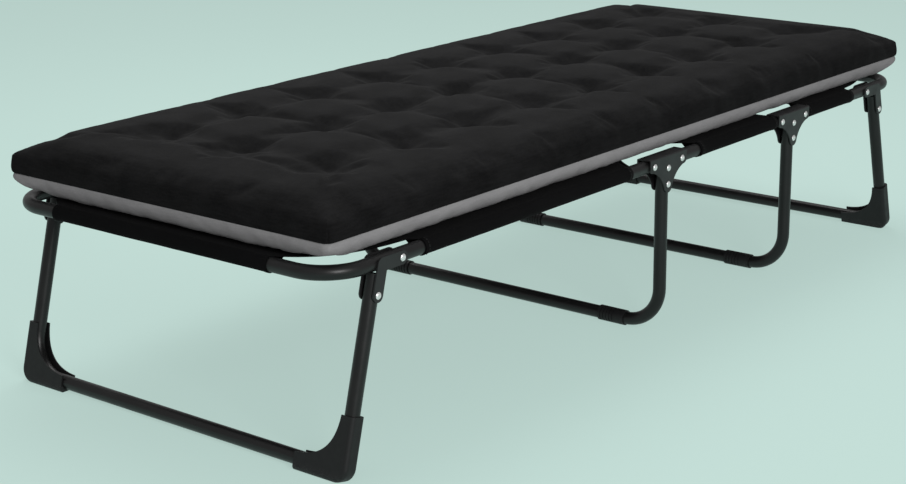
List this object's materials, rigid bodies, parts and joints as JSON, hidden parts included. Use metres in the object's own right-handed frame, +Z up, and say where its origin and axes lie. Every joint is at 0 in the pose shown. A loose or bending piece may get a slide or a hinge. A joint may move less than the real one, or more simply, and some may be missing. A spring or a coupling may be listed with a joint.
{
  "type": "folding camp bed",
  "caption": "Folding camp bed: tube frame with cloth panels, saddle-hinged middle legs, splayed end legs with moulded feet, and a loose tufted mattress.",
  "frame": {"origin": "on the floor under the middle of the whole bed", "axes": "+X along the bed to the rear end, with the short rear section; +Y to the left side; +Z up"},
  "size_m": [1.909, 0.8008, 0.46],
  "materials": {
    "tube": "satin black powder coat",
    "plate": "satin black powder coat on pressed sheet",
    "rivet": "bright zinc",
    "moulded_plastic": "matt black",
    "sling_cloth": "plain woven black cloth",
    "cover_cloth": "fine woven black cloth",
    "underside_cloth": "fine woven grey cloth",
    "filling": "pale fibre wadding"
  },
  "bodies": {
    "middle_frame": {"middle_rail_right": "tube", "middle_rail_left": "tube", "middle_panel": "sling_cloth"},
    "mattress": {"mattress_top": "cover_cloth", "mattress_base": "underside_cloth", "mattress_filling": "filling"},
    "centre_leg": {"centre_leg_tube": "tube", "centre_saddle_right": "plate", "centre_saddle_left": "plate", "centre_pivot_rivets": "rivet", "centre_leg_rivets": "rivet", "centre_foot_sleeve_right": "moulded_plastic", "centre_foot_sleeve_left": "moulded_plastic"},
    "quarter_leg": {"quarter_leg_tube": "tube", "quarter_saddle_right": "plate", "quarter_saddle_left": "plate", "quarter_pivot_rivets": "rivet", "quarter_leg_rivets": "rivet", "quarter_foot_sleeve_right": "moulded_plastic", "quarter_foot_sleeve_left": "moulded_plastic"},
    "front_frame": {"front_frame_tube": "tube", "front_panel": "sling_cloth"},
    "front_leg": {"front_leg_tube": "tube", "front_bracket_right_outer": "plate", "front_bracket_right_inner": "plate", "front_bracket_left_outer": "plate", "front_bracket_left_inner": "plate", "front_pivot_rivets": "rivet", "front_leg_rivets": "rivet", "front_corner_foot_right": "moulded_plastic", "front_corner_foot_left": "moulded_plastic"},
    "rear_frame": {"rear_frame_tube": "tube", "rear_panel": "sling_cloth"},
    "rear_leg": {"rear_leg_tube": "tube", "rear_bracket_right_outer": "plate", "rear_bracket_right_inner": "plate", "rear_bracket_left_outer": "plate", "rear_bracket_left_inner": "plate", "rear_pivot_rivets": "rivet", "rear_leg_rivets": "rivet", "rear_corner_foot_right": "moulded_plastic", "rear_corner_foot_left": "moulded_plastic"}
  },
  "joints": [
    {"name": "centre_leg_fold", "type": "hinge", "parent": "middle_frame", "child": "centre_leg", "pos_m": [0.0315, 0, 0.341], "axis": [0, -1, 0], "range_deg": [0, 60]},
    {"name": "front_frame_fold", "type": "hinge", "parent": "centre_leg", "child": "front_frame", "pos_m": [-0.0625, 0, 0.341], "axis": [0, -1, 0], "range_deg": [0, 60]},
    {"name": "front_leg_fold", "type": "hinge", "parent": "front_frame", "child": "front_leg", "pos_m": [-0.7875, 0, 0.341], "axis": [0, -1, 0], "range_deg": [0, 105]},
    {"name": "quarter_leg_fold", "type": "hinge", "parent": "middle_frame", "child": "quarter_leg", "pos_m": [0.4125, 0, 0.341], "axis": [0, 1, 0], "range_deg": [0, 30]},
    {"name": "rear_frame_fold", "type": "hinge", "parent": "quarter_leg", "child": "rear_frame", "pos_m": [0.5065, 0, 0.341], "axis": [0, 1, 0], "range_deg": [0, 25]},
    {"name": "rear_leg_fold", "type": "hinge", "parent": "rear_frame", "child": "rear_leg", "pos_m": [0.7815, 0, 0.341], "axis": [0, 1, 0], "range_deg": [0, 45]},
    {"name": "mattress_lift", "type": "slide", "parent": "middle_frame", "child": "mattress", "axis": [0, 0, 1], "range_m": [0, 0.25]}
  ]
}
